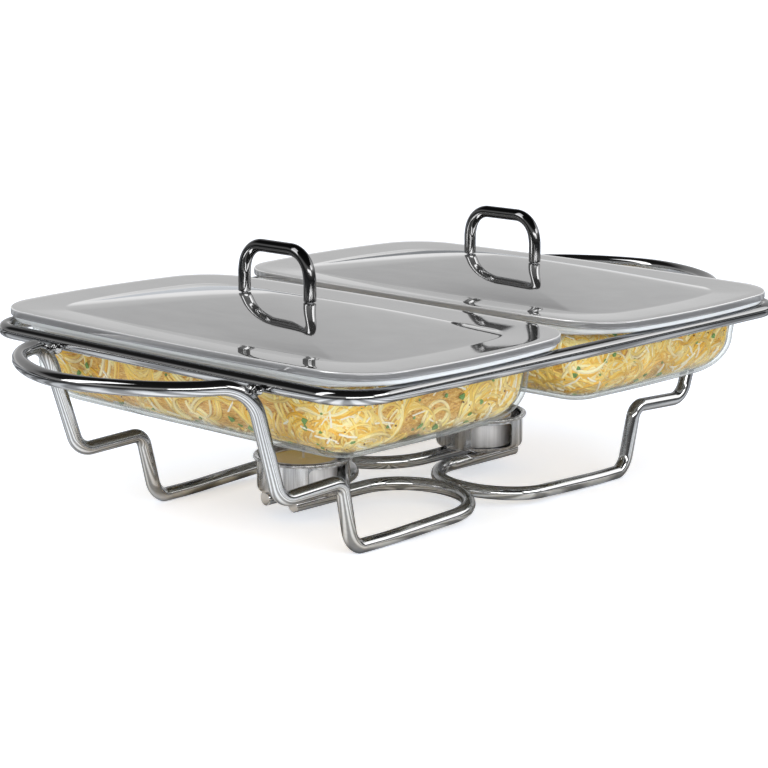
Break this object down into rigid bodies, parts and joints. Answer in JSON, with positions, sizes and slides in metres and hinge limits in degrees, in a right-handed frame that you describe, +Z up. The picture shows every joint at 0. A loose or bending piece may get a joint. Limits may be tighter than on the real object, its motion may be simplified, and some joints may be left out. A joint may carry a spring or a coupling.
{
  "type": "buffet server",
  "caption": "Twin-dish tealight buffet server: glass dishes with steel lids resting in a chrome wire stand over candle holders.",
  "frame": {"origin": "centre of the footprint on the table surface, where the four feet stand", "axes": "+Z up, +X along the long side from the left dish to the right dish, +Y towards the back"},
  "size_m": [0.5022, 0.3022, 0.1562],
  "materials": {
    "chrome_wire": "bright chrome plate on bent steel wire",
    "polished_steel": "mirror-polished stainless sheet with faint fine scratches",
    "holder_steel": "spun stainless sheet with a fine turning grain",
    "zinc_steel": "zinc-plated steel hardware",
    "candle_foil": "thin drawn aluminium",
    "clear_glass": "clear pressed glass",
    "wax": "pale yellow candle wax, softly translucent",
    "cotton": "braided cotton wick"
  },
  "bodies": {
    "stand": {"ring_wire": "chrome_wire", "left_end_wire": "chrome_wire", "right_end_wire": "chrome_wire", "left_burner_holder": "holder_steel", "right_burner_holder": "holder_steel"},
    "left_dish": {"left_dish": "clear_glass"},
    "left_lid": {"left_lid": "polished_steel", "left_lid_handle": "chrome_wire", "left_front_washer": "zinc_steel", "left_back_washer": "zinc_steel", "left_front_screw": "zinc_steel", "left_back_screw": "zinc_steel"},
    "left_candle": {"left_candle_case": "candle_foil", "left_candle_wax": "wax", "left_wick_base": "zinc_steel", "left_candle_wick": "cotton"},
    "right_dish": {"right_dish": "clear_glass"},
    "right_lid": {"right_lid": "polished_steel", "right_lid_handle": "chrome_wire", "right_front_washer": "zinc_steel", "right_back_washer": "zinc_steel", "right_front_screw": "zinc_steel", "right_back_screw": "zinc_steel"},
    "right_candle": {"right_candle_case": "candle_foil", "right_candle_wax": "wax", "right_wick_base": "zinc_steel", "right_candle_wick": "cotton"}
  },
  "joints": [
    {"name": "left_dish_lift", "type": "slide", "parent": "stand", "child": "left_dish", "axis": [0, 0, 1], "range_m": [0, 0.12]},
    {"name": "left_lid_lift", "type": "slide", "parent": "left_dish", "child": "left_lid", "axis": [0, 0, 1], "range_m": [0, 0.15]},
    {"name": "left_candle_lift", "type": "slide", "parent": "stand", "child": "left_candle", "axis": [0, 0, 1], "range_m": [0, 0.0195]},
    {"name": "right_dish_lift", "type": "slide", "parent": "stand", "child": "right_dish", "axis": [0, 0, 1], "range_m": [0, 0.12]},
    {"name": "right_lid_lift", "type": "slide", "parent": "right_dish", "child": "right_lid", "axis": [0, 0, 1], "range_m": [0, 0.15]},
    {"name": "right_candle_lift", "type": "slide", "parent": "stand", "child": "right_candle", "axis": [0, 0, 1], "range_m": [0, 0.0195]}
  ]
}
